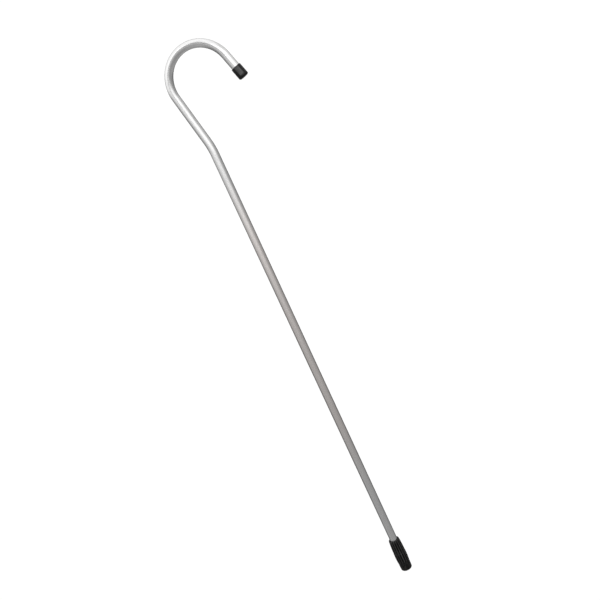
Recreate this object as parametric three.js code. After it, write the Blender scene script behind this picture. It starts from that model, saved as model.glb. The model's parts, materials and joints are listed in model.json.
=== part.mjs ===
// A crook-handled walking cane for a blind user: one bent aluminium tube, a push-on cap over the free
// end of its crook, and a rubber ferrule with a steel washer at its foot.
//
// Millimetres, +Z up. The cane stands upright with the centre of its foot at the origin. The whole
// tube lies in the XZ plane: it kinks a little towards -X below the handle, and the crook then turns
// over towards +X.

import * as THREE from "three";

// ---------------------------------------------------------------- driving dimensions

const TUBE_DIAMETER = 12.7;
const TUBE_WALL = 1.6;
const TUBE_SIDES = 24;

const SHAFT_LENGTH = 742; // foot to the start of the kink
const KINK_RADIUS = 108;
const KINK_ANGLE = -12; // degrees; minus turns towards -X
const NECK_LENGTH = 73.5; // straight between the kink and the crook
const CROOK_RADIUS = 48;
const CROOK_ANGLE = 174;
const END_LENGTH = 39; // straight from the crook to the outside of the cap

const DEGREES_PER_BEND_STEP = 6;
const LENGTH_PER_STRAIGHT_STEP = 95;

const GAP = 0.3; // between pieces that touch
const LATHE_SIDES = 32;

const CAP_DIAMETER = 15.6;
const CAP_LENGTH = 18;
const CAP_END_THICKNESS = 2.2;
const CAP_EDGE_RADIUS = 2.2;
const CAP_LIP_RADIUS = 0.4;

const FERRULE_LENGTH = 59.2;
const SOCKET_FLOOR = 14; // height of the bottom of the ferrule's socket above the ground
const FERRULE_LIP_RADIUS = 7.9;
const FERRULE_LIP_HEIGHT = 0.9; // the last, steepest slope at the mouth
const FERRULE_LIP_BASE_RADIUS = 8.5;
const FERRULE_SHOULDER_DEPTH = 4; // from the mouth down to where the top starts to slope in
const FERRULE_SHOULDER_RADIUS = 9;
const FERRULE_UPPER_GROOVE_HEIGHT = 34.5;
const FERRULE_LOWER_GROOVE_HEIGHT = 13.5;
const FERRULE_GROOVE_WIDTH = 1.6;
const FERRULE_GROOVE_DEPTH = 0.7;
const FERRULE_ABOVE_GROOVE_RADIUS = 10;
const FERRULE_BELOW_GROOVE_RADIUS = 10.3;
const FERRULE_WIDEST_HEIGHT = 25;
const FERRULE_WIDEST_RADIUS = 10.4;
const FERRULE_WAIST_RADIUS = 9.8;
const FERRULE_FOOT_RADIUS = 9.35;
const FERRULE_LOWER_GROOVE_RADIUS = 9.6; // at the lower side of the lower groove
const FERRULE_EDGE_RADIUS = 2;
const TREAD_DEPTH = 1.2;
const TREAD_GROOVES = [
  [3.4, 4.4],
  [5.2, 6.0],
]; // inner and outer radius of each ring cut into the sole

const WASHER_THICKNESS = 1.5;
const WASHER_HOLE_RADIUS = 2.6;

// ---------------------------------------------------------------- derived sizes

const TUBE_RADIUS = TUBE_DIAMETER / 2;
const SOCKET_RADIUS = TUBE_RADIUS + GAP;
const WASHER_RADIUS = SOCKET_RADIUS - GAP;
const WASHER_HEIGHT = SOCKET_FLOOR + GAP;
const TUBE_START = WASHER_HEIGHT + WASHER_THICKNESS + GAP;
const TUBE_END_SETBACK = CAP_END_THICKNESS + GAP;

const toRadians = THREE.MathUtils.degToRad;

// ---------------------------------------------------------------- the tube's centreline

// The heading is the angle from +Z towards +X.
function headingVector(heading) {
  return new THREE.Vector3(Math.sin(heading), 0, Math.cos(heading));
}

// The cane's centreline as a list of stations, each a point and its tangent. Bends take a station
// every few degrees, and straight runs take far fewer.
function caneStations(firstHeight, endSetback) {
  const stations = [];
  let point = new THREE.Vector3(0, 0, firstHeight);
  let heading = 0;

  function addStation() {
    stations.push({ point: point.clone(), tangent: headingVector(heading) });
  }

  function addStraight(length) {
    const steps = Math.ceil(length / LENGTH_PER_STRAIGHT_STEP);
    for (let i = 0; i < steps; i++) {
      point = point.clone().addScaledVector(headingVector(heading), length / steps);
      addStation();
    }
  }

  function addBend(radius, angle) {
    const steps = Math.ceil(Math.abs(angle) / DEGREES_PER_BEND_STEP);
    const turn = toRadians(angle) / steps;
    const chord = 2 * radius * Math.sin(Math.abs(turn) / 2);
    for (let i = 0; i < steps; i++) {
      point = point.clone().addScaledVector(headingVector(heading + turn / 2), chord);
      heading += turn;
      addStation();
    }
  }

  addStation();
  addStraight(SHAFT_LENGTH - firstHeight);
  addBend(KINK_RADIUS, KINK_ANGLE);
  addStraight(NECK_LENGTH);
  addBend(CROOK_RADIUS, CROOK_ANGLE);
  addStraight(END_LENGTH - endSetback);
  return stations;
}

// A curve that an extrusion steps along from station to station.
class StationCurve extends THREE.Curve {
  constructor(stations) {
    super();
    this.stations = stations;
  }

  stationAt(u) {
    return this.stations[Math.round(u * (this.stations.length - 1))];
  }

  getPoint(u, target = new THREE.Vector3()) {
    return target.copy(this.stationAt(u).point);
  }

  getPointAt(u, target = new THREE.Vector3()) {
    return this.getPoint(u, target);
  }

  getTangent(u, target = new THREE.Vector3()) {
    return target.copy(this.stationAt(u).tangent);
  }

  getTangentAt(u, target = new THREE.Vector3()) {
    return this.getTangent(u, target);
  }
}

// ---------------------------------------------------------------- shape helpers

function circlePoints(radius, sides) {
  return Array.from({ length: sides }, (_, i) => {
    const angle = (2 * Math.PI * i) / sides;
    return new THREE.Vector2(radius * Math.cos(angle), radius * Math.sin(angle));
  });
}

function ringShape(outerRadius, innerRadius, sides) {
  const shape = new THREE.Shape(circlePoints(outerRadius, sides));
  shape.holes.push(new THREE.Path(circlePoints(innerRadius, sides)));
  return shape;
}

// A quarter-round corner in a lathe profile, from startAngle to endAngle in degrees.
function roundedCorner(centreRadius, centreHeight, radius, startAngle, endAngle, steps = 4) {
  return Array.from({ length: steps + 1 }, (_, i) => {
    const angle = toRadians(THREE.MathUtils.lerp(startAngle, endAngle, i / steps));
    return new THREE.Vector2(
      centreRadius + radius * Math.cos(angle),
      centreHeight + radius * Math.sin(angle),
    );
  });
}

// Turns a profile of (radius, height) points about +Z. LatheGeometry turns about +Y.
function turned(profile) {
  return new THREE.LatheGeometry(profile, LATHE_SIDES).rotateX(Math.PI / 2);
}

function namedMesh(name, geometry, colour, roughness, metalness) {
  const material = new THREE.MeshStandardMaterial({ color: colour, roughness, metalness });
  const mesh = new THREE.Mesh(geometry, material);
  mesh.name = name;
  return mesh;
}

// ---------------------------------------------------------------- the pieces

// The cane itself: one length of tube, bent cold, open at both ends.
function shaftTube() {
  const stations = caneStations(TUBE_START, TUBE_END_SETBACK);
  const geometry = new THREE.ExtrudeGeometry(
    ringShape(TUBE_RADIUS, TUBE_RADIUS - TUBE_WALL, TUBE_SIDES),
    { steps: stations.length - 1, extrudePath: new StationCurve(stations) },
  );
  return namedMesh("shaft_tube", geometry, 0xc9cacc, 0.35, 1);
}

// The cap is drawn with its closed end at z = 0 and its mouth at the top.
function crookEndCap() {
  const radius = CAP_DIAMETER / 2;
  const profile = [
    new THREE.Vector2(0, 0),
    ...roundedCorner(radius - CAP_EDGE_RADIUS, CAP_EDGE_RADIUS, CAP_EDGE_RADIUS, -90, 0),
    ...roundedCorner(radius - CAP_LIP_RADIUS, CAP_LENGTH - CAP_LIP_RADIUS, CAP_LIP_RADIUS, 0, 90, 2),
    new THREE.Vector2(SOCKET_RADIUS, CAP_LENGTH),
    new THREE.Vector2(SOCKET_RADIUS, CAP_END_THICKNESS),
    new THREE.Vector2(0, CAP_END_THICKNESS),
  ];
  const cap = namedMesh("crook_end_cap", turned(profile), 0x141416, 0.45, 0);
  const end = caneStations(TUBE_START, 0).at(-1);
  cap.position.copy(end.point);
  cap.quaternion.setFromUnitVectors(new THREE.Vector3(0, 0, 1), end.tangent.clone().negate());
  return cap;
}

// A shallow ring groove, as (radius, height) points going up the outside.
function grooveAt(height, radiusBelow, radiusAbove) {
  const half = FERRULE_GROOVE_WIDTH / 2;
  const depth = FERRULE_GROOVE_DEPTH;
  return [
    new THREE.Vector2(radiusBelow, height - half),
    new THREE.Vector2(radiusBelow - depth, height - half / 2),
    new THREE.Vector2(radiusAbove - depth, height + half / 2),
    new THREE.Vector2(radiusAbove, height + half),
  ];
}

// The sole, from the axis outwards: a flat centre, then a flat ring between each pair of grooves.
function soleProfile() {
  const points = [new THREE.Vector2(0, 0)];
  for (const [inner, outer] of TREAD_GROOVES) {
    points.push(
      new THREE.Vector2(inner, 0),
      new THREE.Vector2(inner, TREAD_DEPTH),
      new THREE.Vector2(outer, TREAD_DEPTH),
      new THREE.Vector2(outer, 0),
    );
  }
  return points;
}

// A long tapered rubber tip with two ring grooves, a blind socket for the tube and a treaded sole.
function tipFerrule() {
  const profile = [
    ...soleProfile(),
    ...roundedCorner(
      FERRULE_FOOT_RADIUS - FERRULE_EDGE_RADIUS, FERRULE_EDGE_RADIUS, FERRULE_EDGE_RADIUS, -90, 0,
    ),
    ...grooveAt(
      FERRULE_LOWER_GROOVE_HEIGHT, FERRULE_LOWER_GROOVE_RADIUS, FERRULE_WAIST_RADIUS,
    ),
    new THREE.Vector2(FERRULE_WIDEST_RADIUS, FERRULE_WIDEST_HEIGHT),
    ...grooveAt(
      FERRULE_UPPER_GROOVE_HEIGHT, FERRULE_BELOW_GROOVE_RADIUS, FERRULE_ABOVE_GROOVE_RADIUS,
    ),
    new THREE.Vector2(FERRULE_SHOULDER_RADIUS, FERRULE_LENGTH - FERRULE_SHOULDER_DEPTH),
    new THREE.Vector2(FERRULE_LIP_BASE_RADIUS, FERRULE_LENGTH - FERRULE_LIP_HEIGHT),
    new THREE.Vector2(FERRULE_LIP_RADIUS, FERRULE_LENGTH),
    new THREE.Vector2(SOCKET_RADIUS, FERRULE_LENGTH),
    new THREE.Vector2(SOCKET_RADIUS, SOCKET_FLOOR),
    new THREE.Vector2(0, SOCKET_FLOOR),
  ];
  return namedMesh("tip_ferrule", turned(profile), 0x1b1b1c, 0.85, 0);
}

// A flat steel washer on the socket's floor keeps the tube's cut end from punching through.
function ferruleWasher() {
  const profile = [
    new THREE.Vector2(WASHER_HOLE_RADIUS, 0),
    new THREE.Vector2(WASHER_RADIUS, 0),
    new THREE.Vector2(WASHER_RADIUS, WASHER_THICKNESS),
    new THREE.Vector2(WASHER_HOLE_RADIUS, WASHER_THICKNESS),
    new THREE.Vector2(WASHER_HOLE_RADIUS, 0),
  ];
  const washer = namedMesh("ferrule_washer", turned(profile), 0x9fa2a6, 0.4, 1);
  washer.position.z = WASHER_HEIGHT;
  return washer;
}

const cane = new THREE.Group();
cane.add(shaftTube(), crookEndCap(), tipFerrule(), ferruleWasher());

export default cane;
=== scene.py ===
"""A crook-handled white cane in bare aluminium, with a black cap on the crook's end and a rubber ferrule.

Metres, +Z up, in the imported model's frame: the foot of the upright cane is at the origin and the whole
tube lies in the XZ plane. The cane's own coordinates are s, the distance along its centreline from the
foot, a radius, and an angle round the tube, so a piece is drawn once as if the cane were straight.
"""

import json
import math

import bmesh
import bpy
import numpy as np
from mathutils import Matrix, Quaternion, Vector


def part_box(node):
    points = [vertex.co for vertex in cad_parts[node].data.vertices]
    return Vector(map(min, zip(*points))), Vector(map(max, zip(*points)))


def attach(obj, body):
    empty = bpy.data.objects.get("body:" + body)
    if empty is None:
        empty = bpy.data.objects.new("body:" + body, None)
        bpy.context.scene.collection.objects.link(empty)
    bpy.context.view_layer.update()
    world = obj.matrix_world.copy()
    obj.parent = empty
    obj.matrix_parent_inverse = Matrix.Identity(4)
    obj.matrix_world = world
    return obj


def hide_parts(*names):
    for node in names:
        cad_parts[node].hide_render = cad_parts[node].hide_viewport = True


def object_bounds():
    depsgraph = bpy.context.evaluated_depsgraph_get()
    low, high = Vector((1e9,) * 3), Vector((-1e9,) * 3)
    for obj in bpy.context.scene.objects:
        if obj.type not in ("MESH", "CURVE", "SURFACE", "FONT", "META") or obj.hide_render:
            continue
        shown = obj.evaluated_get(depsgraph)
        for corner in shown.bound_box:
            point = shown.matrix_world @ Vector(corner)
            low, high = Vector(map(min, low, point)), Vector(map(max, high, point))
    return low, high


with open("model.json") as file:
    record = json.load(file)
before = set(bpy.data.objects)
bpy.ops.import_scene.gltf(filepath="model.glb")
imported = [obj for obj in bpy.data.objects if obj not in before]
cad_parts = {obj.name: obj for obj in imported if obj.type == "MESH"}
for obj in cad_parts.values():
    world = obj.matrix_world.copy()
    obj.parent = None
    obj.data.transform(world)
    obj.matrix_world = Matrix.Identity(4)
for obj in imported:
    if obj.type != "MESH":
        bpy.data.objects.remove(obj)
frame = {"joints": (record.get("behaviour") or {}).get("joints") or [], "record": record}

MM = 0.001

cad_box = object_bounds()
tube_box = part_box("shaft_tube")
cap_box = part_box("crook_end_cap")
ferrule_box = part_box("tip_ferrule")
washer_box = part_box("ferrule_washer")
joints = {joint["name"]: joint for joint in frame["joints"]}
mounts = {mount["name"]: mount for mount in frame["record"]["mounts"]}


# ---------------------------------------------------------------- camera

CAMERA_LENS_MM = 50
CAMERA_AZIMUTH = math.radians(17.08)
CAMERA_ELEVATION = math.radians(13.9)
CAMERA_ROLL = math.radians(-24.62)
CAMERA_DISTANCE = 1.259
CAMERA_AIM_OFFSET = Vector((-9.4, 0.1, 44.3)) * MM  # from the middle of the object's box


def towards(azimuth, elevation):
    """The unit vector at an azimuth, from -Y towards +X, and an elevation."""
    level = math.cos(elevation)
    return Vector((math.sin(azimuth) * level, -math.cos(azimuth) * level, math.sin(elevation)))


def make_camera():
    camera = bpy.data.objects.new("camera", bpy.data.cameras.new("camera"))
    bpy.context.scene.collection.objects.link(camera)
    bpy.context.scene.camera = camera
    camera.data.lens = CAMERA_LENS_MM
    back = towards(CAMERA_AZIMUTH, CAMERA_ELEVATION)
    aim = (cad_box[0] + cad_box[1]) / 2 + CAMERA_AIM_OFFSET
    camera.location = aim + back * CAMERA_DISTANCE
    camera.rotation_mode = "QUATERNION"
    level = (-back).to_track_quat("-Z", "Y")
    camera.rotation_quaternion = level @ Quaternion((0, 0, 1), CAMERA_ROLL)


make_camera()


# ---------------------------------------------------------------- the cane's centreline

KINK_HEADING = math.radians(-12)  # the neck's lean: headings are angles from +Z towards +X
KINK_RADIUS = 108 * MM
END_LENGTH = 39 * MM  # straight from the crook to the outside of the cap

tube_radius = (tube_box[1].y - tube_box[0].y) / 2
crook_hold = Vector(mounts["crook_hold"]["pos_m"])
crook_radius = crook_hold.x - tube_box[0].x - tube_radius
crook_centre = (crook_hold.x, crook_hold.z + tube_radius - crook_radius)
end_axis = Vector(joints["cap_pull"]["axis"])
end_heading = math.atan2(end_axis.x, end_axis.z)


def heading_vector(heading):
    return np.array([math.sin(heading), math.cos(heading)])


def right_of(heading):
    return np.array([math.cos(heading), -math.sin(heading)])


class Centreline:
    """The cane's centreline in the XZ plane, as straight runs and bends.

    A run is the s where it starts, its length, its first point or a bend's centre, its first heading, and
    a bend's radius, which is negative when it turns to the left, or None.
    """

    def __init__(self):
        crook_start = np.array(crook_centre) - crook_radius * right_of(KINK_HEADING)
        bend_width = KINK_RADIUS * (1 - math.cos(KINK_HEADING))
        neck_length = (crook_start[0] + bend_width) / math.sin(KINK_HEADING)
        kink_end = crook_start - neck_length * heading_vector(KINK_HEADING)
        kink_height = kink_end[1] + KINK_RADIUS * math.sin(KINK_HEADING)
        self.runs = []
        self.length = 0.0
        self.point = np.zeros(2)
        self.heading = 0.0
        self.straight(kink_height)
        self.bend(KINK_RADIUS, KINK_HEADING)
        self.straight(neck_length)
        self.bend(crook_radius, end_heading - KINK_HEADING)
        self.straight(END_LENGTH)

    def straight(self, length):
        self.runs.append((self.length, length, self.point, self.heading, None))
        self.point = self.point + length * heading_vector(self.heading)
        self.length += length

    def bend(self, radius, turn):
        side = math.copysign(1, turn)
        length = radius * abs(turn)
        centre = self.point + side * radius * right_of(self.heading)
        self.runs.append((self.length, length, centre, self.heading, side * radius))
        self.heading += turn
        self.point = centre - side * radius * right_of(self.heading)
        self.length += length

    def at(self, s):
        """The point and heading at s. The first and last runs carry on past their ends."""
        run = self.runs[0]
        for later in self.runs[1:]:
            if s > later[0]:
                run = later
        start, _, place, heading, signed_radius = run
        if signed_radius is None:
            return place + (s - start) * heading_vector(heading), heading
        heading += (s - start) / signed_radius
        return place - signed_radius * right_of(heading), heading

    def stations(self, first, last, straight_step, bend_step):
        """Values of s from first to last, close together on the bends."""
        found = [first]
        for start, length, _, _, signed_radius in self.runs:
            step = straight_step if signed_radius is None else abs(signed_radius) * bend_step
            low, high = max(start, first), min(start + length, last)
            if high > low:
                found.extend(np.linspace(low, high, max(1, math.ceil((high - low) / step)) + 1)[1:])
        return found


CAP_LENGTH = 18 * MM
CAP_END_THICKNESS = 2.2 * MM

cane_line = Centreline()
mouth_of_cap = cane_line.length - CAP_LENGTH
floor_of_cap = cane_line.length - CAP_END_THICKNESS


# ---------------------------------------------------------------- skins round the centreline

SHARP_ANGLE = math.radians(34)


def arc(centre_s, centre_r, radius, start, end, steps=8):
    """Points (s, r) on an arc. Angle 0 points to larger s, and 90 degrees to larger r."""
    angles = np.radians(np.linspace(start, end, steps + 1))
    return [(centre_s + radius * math.cos(a), centre_r + radius * math.sin(a)) for a in angles]


def skin_round(name, outline, sides, swell=None):
    """A solid whose outline, a list of (s, r), is carried round the cane's centreline.

    An outline that starts on the axis ends on it, and any other closes on itself. swell(s, r, angles) is
    what it adds to the radius. The attribute "straight" keeps where each point would be on a straight cane.
    """
    angles = np.arange(sides) * 2 * math.pi / sides
    points, straight, rings = [], [], []
    for s, r in outline:
        place, heading = cane_line.at(s)
        right = right_of(heading)
        on_axis = r < 1e-9
        turn = np.zeros(1) if on_axis else angles
        radii = np.full(len(turn), float(r))
        if swell is not None and not on_axis:
            radii = radii + swell(s, r, turn)
        across, aside = radii * np.cos(turn), radii * np.sin(turn)
        rings.append(range(len(points), len(points) + len(turn)))
        points.extend(zip(place[0] + across * right[0], aside, place[1] + across * right[1]))
        straight.extend(zip(across, aside, np.full(len(turn), s)))
    closed = outline[0][1] > 1e-9
    pairs = list(zip(rings, rings[1:] + rings[:1])) if closed else list(zip(rings, rings[1:]))
    faces = []
    for low, high in pairs:
        for i in range(sides):
            j = (i + 1) % sides
            if len(low) == 1:
                faces.append((low[0], high[j], high[i]))
            elif len(high) == 1:
                faces.append((low[i], low[j], high[0]))
            else:
                faces.append((low[i], low[j], high[j], high[i]))
    mesh = bpy.data.meshes.new(name)
    mesh.from_pydata([tuple(map(float, p)) for p in points], [], faces)
    attribute = mesh.attributes.new("straight", "FLOAT_VECTOR", "POINT")
    attribute.data.foreach_set("vector", np.array(straight, np.float32).ravel())
    mesh.shade_smooth()
    mesh.set_sharp_from_angle(angle=SHARP_ANGLE)
    piece = bpy.data.objects.new(name, mesh)
    bpy.context.scene.collection.objects.link(piece)
    return piece


# ---------------------------------------------------------------- node helpers


class Nodes:
    """A node tree that is written as nested calls."""

    def __init__(self, tree):
        self.tree = tree
        tree.nodes.clear()

    def add(self, kind, settings=None, **inputs):
        node = self.tree.nodes.new(kind)
        for key, value in (settings or {}).items():
            setattr(node, key, value)
        for key, value in inputs.items():
            self.set(node, key.replace("_", " "), value)
        return node

    def set(self, node, key, value):
        socket = node.inputs[int(key) if key.isdigit() else key]
        if isinstance(value, bpy.types.NodeSocket):
            self.tree.links.new(value, socket)
        else:
            socket.default_value = value

    def math(self, operation, *values):
        node = self.add("ShaderNodeMath", {"operation": operation})
        for key, value in enumerate(values):
            self.set(node, str(key), value)
        return node.outputs[0]

    def vector(self, operation, a, b):
        node = self.add("ShaderNodeVectorMath", {"operation": operation})
        self.set(node, "0", a)
        self.set(node, "1", b)
        return node.outputs["Value" if operation == "DOT_PRODUCT" else "Vector"]

    def scaled(self, vector, factor):
        node = self.add("ShaderNodeVectorMath", {"operation": "SCALE"}, Vector=vector, Scale=factor)
        return node.outputs["Vector"]

    def straight(self, stretch=(1, 1, 1), turn=(0, 0, 0)):
        """Where the point would be on a straight cane, in metres, stretched and turned."""
        place = self.add("ShaderNodeAttribute", {"attribute_name": "straight"}).outputs["Vector"]
        mapping = self.add("ShaderNodeMapping", Vector=place, Scale=stretch, Rotation=turn)
        return mapping.outputs["Vector"]

    def noise(self, vector, scale, detail=3.0, roughness=0.5):
        node = self.add(
            "ShaderNodeTexNoise", Vector=vector, Scale=scale, Detail=detail, Roughness=roughness
        )
        return node.outputs["Fac"]

    def ramp(self, value, stops):
        """A colour ramp. Each stop is (position, colour), and a colour may be one grey number."""
        node = self.add("ShaderNodeValToRGB", Fac=value)
        ramp = node.color_ramp
        while len(ramp.elements) < len(stops):
            ramp.elements.new(0.5)
        for element, (position, colour) in zip(ramp.elements, stops):
            element.position = position
            grey = isinstance(colour, (int, float))
            element.color = (colour,) * 3 + (1,) if grey else (*colour, 1)
        return node.outputs["Color"]

    def between(self, value, from_low, from_high, to_low, to_high):
        node = self.add("ShaderNodeMapRange", Value=value)
        for key, number in zip("1234", (from_low, from_high, to_low, to_high)):
            self.set(node, key, number)
        return node.outputs["Result"]

    def mixed(self, share, a, b):
        """Colour a where share is 0 and colour b where it is 1."""
        node = self.add("ShaderNodeMix", {"data_type": "RGBA"})
        self.set(node, "Factor", share)
        for socket, value in ((node.inputs[6], a), (node.inputs[7], b)):
            if isinstance(value, bpy.types.NodeSocket):
                self.tree.links.new(value, socket)
            else:
                socket.default_value = (*value, 1)
        return node.outputs[2]

    def bumped(self, height, distance, normal=None):
        node = self.add("ShaderNodeBump", Height=height, Distance=distance, Strength=1.0)
        if normal is not None:
            self.set(node, "Normal", normal)
        return node.outputs["Normal"]


def new_material(name, **constants):
    """A material with a Principled shader whose constant sockets are set directly."""
    material = bpy.data.materials.new(name)
    material.use_nodes = True
    nodes = Nodes(material.node_tree)
    shader = nodes.add("ShaderNodeBsdfPrincipled", **constants)
    output = nodes.add("ShaderNodeOutputMaterial")
    nodes.set(output, "Surface", shader.outputs[0])
    return material, nodes, shader


# ---------------------------------------------------------------- materials

METAL_EDGE_TINT = (0.35, 0.35, 0.35, 1)  # below 1, the metal mirrors less at grazing angles
WARM_REFLECTION_TINT = (1.05, 0.994, 0.968)  # a painted warm reflection: what the aluminium's colour is multiplied by along the warm stretch
WARM_REFLECTION_STRETCH = (170 * MM, 710 * MM)
WARM_REFLECTION_FADE = 110 * MM
# The painted sheen on the cap, a paler patch where its highlight falls: where each side of it starts and
# where it is whole. The first two are distances from the cap's axis, outwards in the plane of the crook,
# and the last is along the cane.
SHEEN_PATCH_INNER_EDGE = (-2.2 * MM, -0.4 * MM)
SHEEN_PATCH_OUTER_EDGE = (5.4 * MM, 4.2 * MM)
SHEEN_PATCH_END_EDGE = (floor_of_cap - 1 * MM, floor_of_cap - 2.6 * MM)
VINYL = (0.002, 0.002, 0.0021)
# the colour of the cap's painted sheen
PAINTED_SHEEN_VINYL = (0.08, 0.08, 0.08)
RIBS = 16  # round the ferrule
RUBBER = (0.0015, 0.0015, 0.0016)
# the colour of the painted highlight on the ferrule's rib crests
CREST_HIGHLIGHT_RUBBER = (0.055, 0.054, 0.052)
DUST = (0.045, 0.043, 0.04)
DUSTIER_BELOW = 0.35  # of the ferrule's height


def satin_aluminium():
    """Bare drawn tube: lengthwise draw lines, a cloudy satin finish, and fine scratches from use.

    Along the middle of the shaft, a faint warm reflection is painted into the metal's colour.
    """
    material, nodes, shader = new_material(
        "satin_aluminium", Metallic=1.0, Specular_Tint=METAL_EDGE_TINT
    )
    lines = nodes.noise(nodes.straight(stretch=(1, 1, 0.012)), 4200, detail=2)
    clouds = nodes.noise(nodes.straight(stretch=(1, 1, 0.4)), 260, detail=5, roughness=0.65)
    grain = nodes.noise(nodes.straight(), 2600, detail=2)
    slanted = nodes.noise(nodes.straight(stretch=(1, 1, 0.05), turn=(0.5, 0.3, 0)), 900, detail=1)
    scratches = nodes.ramp(slanted, [(0.66, 0.0), (0.72, 1.0)])
    mottle = nodes.math("MULTIPLY_ADD", clouds, 0.65, nodes.math("MULTIPLY", lines, 0.35))
    finish = nodes.ramp(mottle, [
        (0.34, (0.765, 0.765, 0.767)),
        (0.50, (0.81, 0.808, 0.806)),
        (0.66, (0.85, 0.847, 0.843)),
    ])
    # A painted warm reflection: the metal's colour is warmed along the middle of the shaft.
    along = nodes.add("ShaderNodeSeparateXYZ", Vector=nodes.straight()).outputs["Z"]
    fading_in = nodes.between(along, WARM_REFLECTION_STRETCH[0], WARM_REFLECTION_STRETCH[0] + WARM_REFLECTION_FADE, 0.0, 1.0)
    fading_out = nodes.between(along, WARM_REFLECTION_STRETCH[1], WARM_REFLECTION_STRETCH[1] - WARM_REFLECTION_FADE, 0.0, 1.0)
    share = nodes.math("MULTIPLY", fading_in, fading_out)
    warm_reflected = nodes.vector("MULTIPLY", finish, WARM_REFLECTION_TINT)
    nodes.set(shader, "Base Color", nodes.mixed(share, finish, warm_reflected))
    polish = nodes.between(mottle, 0.34, 0.66, 0.28, 0.21)
    nodes.set(shader, "Roughness", nodes.math("MULTIPLY_ADD", scratches, 0.08, polish))
    height = nodes.math("MULTIPLY_ADD", lines, 0.7, nodes.math("MULTIPLY", grain, 0.3))
    drawn = nodes.bumped(height, 0.005 * MM)
    nodes.set(shader, "Normal", nodes.bumped(scratches, -0.003 * MM, normal=drawn))
    return material


def black_vinyl():
    """Soft dipped vinyl: near black and glossy, with a paler patch of painted sheen on each of its broad
    sides.
    """
    material, nodes, shader = new_material("black_vinyl", Specular_IOR_Level=0.28)
    peel = nodes.noise(nodes.straight(), 700, detail=2)
    gloss_and_sheen_clouds = nodes.noise(nodes.straight(stretch=(1, 1, 0.5)), 260, detail=4, roughness=0.65)
    # A painted sheen: the base colour is paler on the cap's broad sides, where its highlight falls.
    split = nodes.add("ShaderNodeSeparateXYZ", Vector=nodes.straight())
    outward = nodes.math("MULTIPLY", split.outputs["X"], -1.0)
    inner_side = nodes.between(outward, *SHEEN_PATCH_INNER_EDGE, 0.0, 1.0)
    outer_side = nodes.between(outward, *SHEEN_PATCH_OUTER_EDGE, 0.0, 1.0)
    end_side = nodes.between(split.outputs["Z"], *SHEEN_PATCH_END_EDGE, 0.0, 1.0)
    sheen_patch = nodes.math("MULTIPLY", nodes.math("MULTIPLY", inner_side, outer_side), end_side)
    painted_highlight = nodes.math("MULTIPLY", sheen_patch, nodes.between(gloss_and_sheen_clouds, 0.3, 0.6, 0.4, 1.0))
    nodes.set(shader, "Base Color", nodes.mixed(painted_highlight, VINYL, PAINTED_SHEEN_VINYL))
    nodes.set(shader, "Roughness", nodes.between(gloss_and_sheen_clouds, 0.35, 0.7, 0.17, 0.3))
    nodes.set(shader, "Normal", nodes.bumped(peel, 0.015 * MM))
    return material


def black_rubber():
    """Moulded rubber: a dull sheen, fine grain, a painted highlight on the crests of its ribs, and dust
    towards the sole.
    """
    material, nodes, shader = new_material("black_rubber", Specular_IOR_Level=0.16)
    grain = nodes.noise(nodes.straight(), 2600, detail=3)
    patches = nodes.noise(nodes.straight(), 330, detail=5, roughness=0.65)
    streaks = nodes.noise(nodes.straight(stretch=(1, 1, 0.12)), 420, detail=2)
    split = nodes.add("ShaderNodeSeparateXYZ", Vector=nodes.straight())
    along = split.outputs["Z"]
    # A painted highlight: the rib crests above the lower groove are paler.
    angle = nodes.math("ARCTAN2", split.outputs["Y"], split.outputs["X"])
    wave = nodes.math("COSINE", nodes.math("MULTIPLY", angle, RIBS))
    crest = nodes.between(wave, 0.1, 0.95, 0.0, 1.0)
    foot = nodes.between(along, LOWER_GROOVE + 1 * MM, LOWER_GROOVE + 5 * MM, 0.1, 1.0)
    crest_highlight_mask = nodes.math("MULTIPLY", crest, foot)
    painted_highlight = nodes.math("MULTIPLY", crest_highlight_mask, nodes.between(streaks, 0.35, 0.65, 0.25, 1.0))
    low = nodes.between(along, ferrule_box[1].z * DUSTIER_BELOW, 0.0, 0.0, 0.2)
    dust = nodes.ramp(nodes.math("ADD", patches, low), [(0.60, 0.0), (0.98, 1.0)])
    rubber = nodes.mixed(painted_highlight, RUBBER, CREST_HIGHLIGHT_RUBBER)
    nodes.set(shader, "Base Color", nodes.mixed(dust, rubber, DUST))
    nodes.set(shader, "Roughness", nodes.between(patches, 0.3, 0.7, 0.36, 0.52))
    fine = nodes.bumped(grain, 0.02 * MM)
    nodes.set(shader, "Normal", nodes.bumped(patches, 0.06 * MM, normal=fine))
    return material


def zinc_steel():
    """Zinc plate on stamped steel: a bluish, slightly spangled grey."""
    material, nodes, shader = new_material("zinc_steel", Metallic=1.0)
    spangle = nodes.noise(nodes.straight(), 1500, detail=3)
    nodes.set(shader, "Base Color", nodes.ramp(spangle, [
        (0.35, (0.50, 0.52, 0.54)),
        (0.65, (0.66, 0.67, 0.68)),
    ]))
    nodes.set(shader, "Roughness", nodes.between(spangle, 0.3, 0.7, 0.3, 0.45))
    nodes.set(shader, "Normal", nodes.bumped(spangle, 0.01 * MM))
    return material


# ---------------------------------------------------------------- the pieces

TUBE_WALL = 1.6 * MM
TUBE_SIDES = 72
TUBE_DEBURR = 0.3 * MM
TUBE_END_GAP = 0.3 * MM  # between the tube's end and the floor of the cap
STRAIGHT_STEP = 30 * MM
BEND_STEP = math.radians(2)
CROOK_RUN = 3  # the crook's place among the centreline's runs
BEND_FLATTENING = 0.14 * MM  # a bent tube loses a little of its width in the plane of the bend
FLATTENING_FADE = 25 * MM
SOCKET_CLEARANCE = 0.06 * MM  # between the tube and what is pushed over it

socket_radius = tube_radius + SOCKET_CLEARANCE


def smooth_step(low, high, value):
    t = min(1.0, max(0.0, (value - low) / (high - low)))
    return t * t * (3 - 2 * t)


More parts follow.
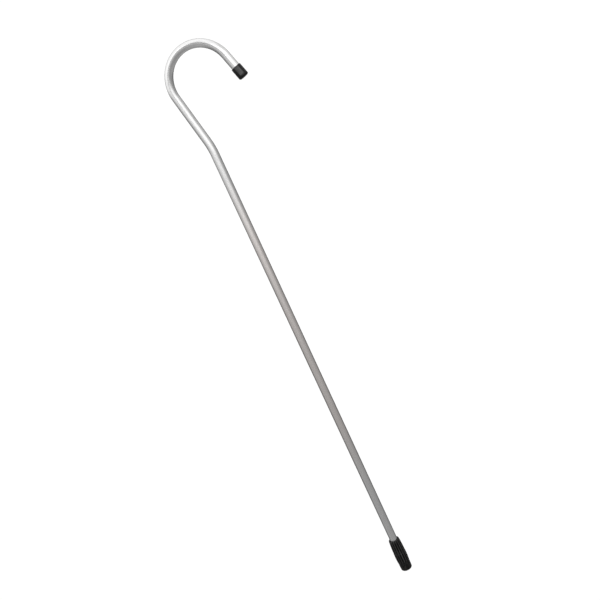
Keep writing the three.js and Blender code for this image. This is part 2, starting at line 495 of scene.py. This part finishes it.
def bend_flattening(s, r, angles):
    """Narrower in the plane of the crook and wider across it, fading out at the crook's two ends."""
    start, length = cane_line.runs[CROOK_RUN][:2]
    end = start + length
    entering = smooth_step(start - FLATTENING_FADE, start + FLATTENING_FADE, s)
    leaving = smooth_step(end, end - FLATTENING_FADE, s)
    change = BEND_FLATTENING * (0.5 * np.sin(angles) ** 2 - np.cos(angles) ** 2)
    return entering * leaving * change


def make_tube():
    first = tube_box[0].z
    last = floor_of_cap - TUBE_END_GAP
    inside = tube_radius - TUBE_WALL
    along = cane_line.stations(first + TUBE_DEBURR, last - TUBE_DEBURR, STRAIGHT_STEP, BEND_STEP)
    outline = [(first, tube_radius - TUBE_DEBURR)]
    outline += [(s, tube_radius) for s in along]
    outline += [(last, tube_radius - TUBE_DEBURR), (last, inside + TUBE_DEBURR)]
    outline += [(s, inside) for s in reversed(along)]
    outline += [(first, inside + TUBE_DEBURR)]
    tube = skin_round("cane_tube", outline, TUBE_SIDES, bend_flattening)
    tube.data.materials.append(satin_aluminium())
    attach(tube, "cane")
    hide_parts("shaft_tube")


CAP_SIDES = 64
CAP_EDGE_RADIUS = 2.3 * MM
CAP_LIP_RADIUS = 0.45 * MM
CAP_DRAFT = 0.12 * MM  # the cap's radius is this much smaller at its mouth than at its end
CAP_FLAT_RING = 3 * MM  # one more ring on the flat end, so that the flat shades evenly
CAP_DIMPLE_RADIUS = 1.3 * MM
CAP_DIMPLE_DEPTH = 0.25 * MM


def make_cap():
    radius = (cap_box[1].y - cap_box[0].y) / 2
    end, edge, lip = cane_line.length, CAP_EDGE_RADIUS, CAP_LIP_RADIUS
    mouth_radius = radius - CAP_DRAFT
    outline = [(floor_of_cap, 0), (floor_of_cap, socket_radius)]
    outline += [(mouth_of_cap + lip, socket_radius)]
    outline += arc(mouth_of_cap + lip, socket_radius + lip, lip, 270, 180, 4)[1:]
    outline += arc(mouth_of_cap + lip, mouth_radius - lip, lip, 180, 90, 4)
    outline += arc(end - edge, radius - edge, edge, 90, 0, 10)
    outline += [(end, CAP_FLAT_RING)]
    outline += [
        (end - CAP_DIMPLE_DEPTH * (0.5 + 0.5 * math.cos(math.pi * x)), CAP_DIMPLE_RADIUS * x)
        for x in np.linspace(1, 0, 7)
    ]
    cap = skin_round("crook_cap", outline, CAP_SIDES)
    cap.data.materials.append(black_vinyl())
    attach(cap, "end_cap")
    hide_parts("crook_end_cap")


SIDES_PER_RIB = 12
RIB_DEPTH = 0.9 * MM
RIB_END = 3 * MM  # over which a rib rises at each of its ends
RIBS_ABOVE_LOWER_GROOVE = 2.5 * MM
RIBS_BELOW_TOP = 3 * MM
SEAM_HEIGHT = 0.12 * MM
UPPER_GROOVE = 34.5 * MM
UPPER_GROOVE_HALF_WIDTH = 1.2 * MM
UPPER_GROOVE_DEPTH = 0.9 * MM
LOWER_GROOVE = 13.5 * MM
LOWER_GROOVE_HALF_WIDTH = 1.1 * MM
LOWER_GROOVE_DEPTH = 0.5 * MM
SOCKET_FLOOR = 14 * MM
SOCKET_SKIN = 0.6 * MM  # only what is further out from the socket than this has ribs
FERRULE_EDGE_RADIUS = 2 * MM
FERRULE_STEP = 0.6 * MM
SOLE_GROOVES = ((3.4 * MM, 4.4 * MM), (5.2 * MM, 6.0 * MM))
SOLE_GROOVE_DEPTH = 1.2 * MM
SOLE_GROOVE_SLOPE = 0.1 * MM
MOUTH_SETBACK = 1.2 * MM  # from the top of the ferrule's box
LIP_HEIGHT = 1.2 * MM  # the even steps up the outside stop this far below the mouth
# The lip's rounded outside, as depths below the mouth and radii.
LIP_OUTLINE = ((0.7 * MM, 8.8 * MM), (0.2 * MM, 8.6 * MM), (0, 8.25 * MM))
MOUTH_CHAMFER_WIDTH = 0.25 * MM
MOUTH_CHAMFER_DEPTH = 0.4 * MM
# The ferrule's radius on the crests of its ribs at some heights, in millimetres.
FERRULE_PROFILE = [
    (2, 9.33), (6, 9.5), (11.5, 9.6), (17, 10.0), (21, 10.25), (25, 10.36), (29, 10.34), (33.4, 10.26),
    (35.6, 10.02), (41.5, 9.9), (47, 9.68), (52, 9.35), (55.2, 9.12), (57.2, 8.92), (58.3, 8.78),
]


def ferrule_ribs(s, r, angles):
    """Lengthwise ribs in two bands, one on each side of the upper groove, and the mould's seam."""
    if r < socket_radius + SOCKET_SKIN:
        return np.zeros(len(angles))
    bands = (
        (LOWER_GROOVE + RIBS_ABOVE_LOWER_GROOVE, UPPER_GROOVE - UPPER_GROOVE_HALF_WIDTH),
        (UPPER_GROOVE + UPPER_GROOVE_HALF_WIDTH, ferrule_box[1].z - RIBS_BELOW_TOP),
    )
    ribbed = sum(
        smooth_step(low, low + RIB_END, s) * smooth_step(high, high - RIB_END, s) for low, high in bands
    )
    hollow = (0.5 - 0.5 * np.cos(RIBS * angles)) ** 3
    seam = np.where(np.abs(np.sin(angles)) < 1e-6, SEAM_HEIGHT, 0)
    return seam - ribbed * RIB_DEPTH * hollow


def ferrule_radius(height):
    """The outside radius, with the two ring grooves."""
    heights, radii = zip(*FERRULE_PROFILE)
    radius = np.interp(height / MM, heights, radii) * MM
    for centre, half_width, depth in (
        (UPPER_GROOVE, UPPER_GROOVE_HALF_WIDTH, UPPER_GROOVE_DEPTH),
        (LOWER_GROOVE, LOWER_GROOVE_HALF_WIDTH, LOWER_GROOVE_DEPTH),
    ):
        x = min(1.0, abs(height - centre) / half_width)
        radius -= depth * (0.5 + 0.5 * math.cos(math.pi * x))
    return radius


def make_ferrule():
    top, edge = ferrule_box[1].z - MOUTH_SETBACK, FERRULE_EDGE_RADIUS
    outline = [(0, 0)]
    deep, slope = SOLE_GROOVE_DEPTH, SOLE_GROOVE_SLOPE
    for inner, outer in SOLE_GROOVES:
        outline += [(0, inner), (deep, inner + slope), (deep, outer - slope), (0, outer)]
    outline += arc(edge, ferrule_radius(edge) - edge, edge, 180, 90, 9)
    heights = np.arange(edge + FERRULE_STEP, top - LIP_HEIGHT, FERRULE_STEP)
    outline += [(z, ferrule_radius(z)) for z in heights]
    outline += [(top - depth, radius) for depth, radius in LIP_OUTLINE]
    outline += [(top, socket_radius + MOUTH_CHAMFER_WIDTH), (top - MOUTH_CHAMFER_DEPTH, socket_radius)]
    outline += [(SOCKET_FLOOR, socket_radius), (SOCKET_FLOOR, 0)]
    ferrule = skin_round("rubber_ferrule", outline, RIBS * SIDES_PER_RIB, ferrule_ribs)
    ferrule.data.materials.append(black_rubber())
    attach(ferrule, "foot_tip")
    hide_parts("tip_ferrule")


WASHER_SIDES = 48
WASHER_HOLE_RADIUS = 2.6 * MM
WASHER_EDGE = 0.15 * MM


def make_washer():
    low, high = washer_box[0].z, washer_box[1].z
    radius = (washer_box[1].x - washer_box[0].x) / 2
    hole, edge = WASHER_HOLE_RADIUS, WASHER_EDGE
    outline = [(low, hole + edge), (low, radius - edge), (low + edge, radius), (high - edge, radius)]
    outline += [(high, radius - edge), (high, hole + edge), (high - edge, hole), (low + edge, hole)]
    washer = skin_round("steel_washer", outline, WASHER_SIDES)
    washer.data.materials.append(zinc_steel())
    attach(washer, "foot_tip")
    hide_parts("ferrule_washer")


make_tube()
make_cap()
make_ferrule()
make_washer()


# ---------------------------------------------------------------- studio

FLOOR_DROP = 1.3  # the cane hangs by its crook, high enough to be seen from below
FLOOR_SIDES = 96
STUDIO_RADIUS = 18.0
WHITE_GLOW = 1.04  # just white: more would wash over the cane's edges

# What the cane mirrors: the light's strength at each height on the four sides of the studio, from the front
# and then to the right, where height is the sine of the elevation. A bright panel is in front, and grey
# screens are at the sides and behind.
FRONT_AZIMUTH = 15  # degrees from -Y towards +X
CEILING = 1.17
STUDIO_SIDES = (
    [(-1, 0.29), (-0.5, 0.335), (-0.3, 0.365), (-0.2, 0.49), (-0.1, 0.87), (0, 1.3), (0.3, 1.4),
     (0.41, 2.4), (0.46, 2.4), (0.56, CEILING)],
    [(-1, 0.33), (-0.65, 0.4), (-0.5, 0.28), (-0.3, 0.36), (-0.1, 0.37), (0.2, 0.44), (0.45, 0.95),
     (0.7, 0.72), (0.85, CEILING)],
    [(-1, 0.46), (-0.6, 0.4), (-0.45, 0.14), (0, 0.13), (0.2, 0.3), (0.5, CEILING)],
    [(-1, 0.33), (-0.8, 0.44), (-0.6, 0.44), (-0.48, 0.34), (-0.3, 0.41), (-0.1, 0.5), (0, 0.72),
     (0.15, 1.1), (0.5, CEILING)],
)
BRIGHTEST = 2.4  # a colour ramp holds no more than 1, so it holds the share of this
SIDE_FOCUS = 3.0  # the higher it is, the less a side's light spreads round to its neighbours
# Dark cards to either side, far away: azimuth and elevation, how far from its middle a card starts and
# stops fading out, all in degrees, and the share of the light it holds back.
FAR_CARDS = ((-95, -20, 8, 26, 0.5), (132, -20, 6, 20, 0.45))
# Round dark cards in front of the crook, so near that the neck mirrors them less. Only the cane's mirror
# sees them. Azimuth and elevation in degrees from the crook's centre, the radii in metres where a card
# starts and stops fading out, and the share of the light it holds back.
NEAR_CARDS = ((-14, 12, 0.06, 0.17, 0.92), (-3, 29, 0.06, 0.18, 0.75))
NEAR_DISTANCE = 0.6
NEAR_CARD_SIDES = 48


def stage_object(name, mesh, surface, only_mirrored=False):
    """A thing in the studio that neither lights nor shades the cane.

    Only the camera sees it, or, if it is only_mirrored, only the cane's mirror does.
    """
    material = bpy.data.materials.new(name)
    material.use_nodes = True
    nodes = Nodes(material.node_tree)
    output = nodes.add("ShaderNodeOutputMaterial")
    nodes.set(output, "Surface", surface(nodes))
    mesh.materials.append(material)
    thing = bpy.data.objects.new(name, mesh)
    bpy.context.scene.collection.objects.link(thing)
    thing.visible_camera = not only_mirrored
    thing.visible_diffuse = False
    thing.visible_glossy = only_mirrored
    thing.visible_transmission = False
    thing.visible_shadow = False
    return thing


def disc(name, radius, height, sides):
    """A flat round face at a height."""
    mesh = bpy.data.meshes.new(name)
    turn = np.arange(sides) * 2 * math.pi / sides
    rim = [(radius * math.cos(a), radius * math.sin(a), height) for a in turn]
    mesh.from_pydata(rim, [], [tuple(range(sides))])
    return mesh


def white_glow(nodes):
    return nodes.add("ShaderNodeEmission", Strength=WHITE_GLOW).outputs[0]


def make_floor():
    mesh = disc("floor", STUDIO_RADIUS, -FLOOR_DROP, FLOOR_SIDES)
    stage_object("floor", mesh, white_glow)


def make_backdrop():
    mesh = bpy.data.meshes.new("backdrop")
    shape = bmesh.new()
    bmesh.ops.create_icosphere(shape, subdivisions=4, radius=STUDIO_RADIUS)
    shape.to_mesh(mesh)
    shape.free()
    stage_object("backdrop", mesh, white_glow)


def fading_tint(dark_radius, radius, depth):
    """A clear surface that holds back a share of the light in its middle, and none at its rim."""

    def surface(nodes):
        place = nodes.add("ShaderNodeTexCoord").outputs["Object"]
        away = nodes.add("ShaderNodeVectorMath", {"operation": "LENGTH"}, Vector=place)
        passed = nodes.between(away.outputs["Value"], dark_radius, radius, 1 - depth, 1.0)
        return nodes.add("ShaderNodeBsdfTransparent", Color=passed).outputs[0]

    return surface


def make_near_cards():
    crook_middle = Vector((crook_centre[0], 0, crook_centre[1]))
    for number, (azimuth, elevation, dark_radius, radius, depth) in enumerate(NEAR_CARDS, 1):
        mesh = disc("card", radius, 0, NEAR_CARD_SIDES)
        surface = fading_tint(dark_radius, radius, depth)
        card = stage_object(f"card_{number}", mesh, surface, only_mirrored=True)
        direction = towards(math.radians(azimuth), math.radians(elevation))
        card.location = crook_middle + direction * NEAR_DISTANCE
        card.rotation_mode = "QUATERNION"
        card.rotation_quaternion = direction.to_track_quat("Z", "Y")


def make_world():
    """Soft light all round, blended from the four sides by direction and dimmed by the far cards."""
    world = bpy.data.worlds.new("studio")
    bpy.context.scene.world = world
    world.use_nodes = True
    nodes = Nodes(world.node_tree)
    direction = nodes.add("ShaderNodeTexCoord").outputs["Generated"]
    split = nodes.add("ShaderNodeSeparateXYZ", Vector=direction)
    height = nodes.between(split.outputs["Z"], -1, 1, 0, 1)
    level = nodes.add("ShaderNodeCombineXYZ", X=split.outputs["X"], Y=split.outputs["Y"]).outputs[0]
    bearing = nodes.add("ShaderNodeVectorMath", {"operation": "NORMALIZE"}, Vector=level).outputs[0]
    total, shares = (0, 0, 0), 0.0
    for quarter, stops in enumerate(STUDIO_SIDES):
        azimuth = math.radians(FRONT_AZIMUTH + 90 * quarter)
        facing = nodes.vector("DOT_PRODUCT", bearing, towards(azimuth, 0))
        share = nodes.math("POWER", nodes.math("MAXIMUM", facing, 0.0), SIDE_FOCUS)
        shares = nodes.math("ADD", shares, share)
        light = nodes.ramp(height, [((z + 1) / 2, strength / BRIGHTEST) for z, strength in stops])
        total = nodes.vector("ADD", total, nodes.scaled(light, share))
    kept = nodes.math("DIVIDE", 1.0, shares)
    for *angles, depth in FAR_CARDS:
        azimuth, elevation, inner, outer = (math.radians(angle) for angle in angles)
        facing = nodes.vector("DOT_PRODUCT", direction, towards(azimuth, elevation))
        passed = nodes.between(facing, math.cos(outer), math.cos(inner), 1, 1 - depth)
        kept = nodes.math("MULTIPLY", kept, passed)
    blended = nodes.scaled(total, kept)
    background = nodes.add("ShaderNodeBackground", Color=blended, Strength=BRIGHTEST)
    output = nodes.add("ShaderNodeOutputWorld")
    nodes.set(output, "Surface", background.outputs[0])


make_floor()
make_backdrop()
make_near_cards()
make_world()
bpy.context.scene.view_settings.view_transform = "Standard"
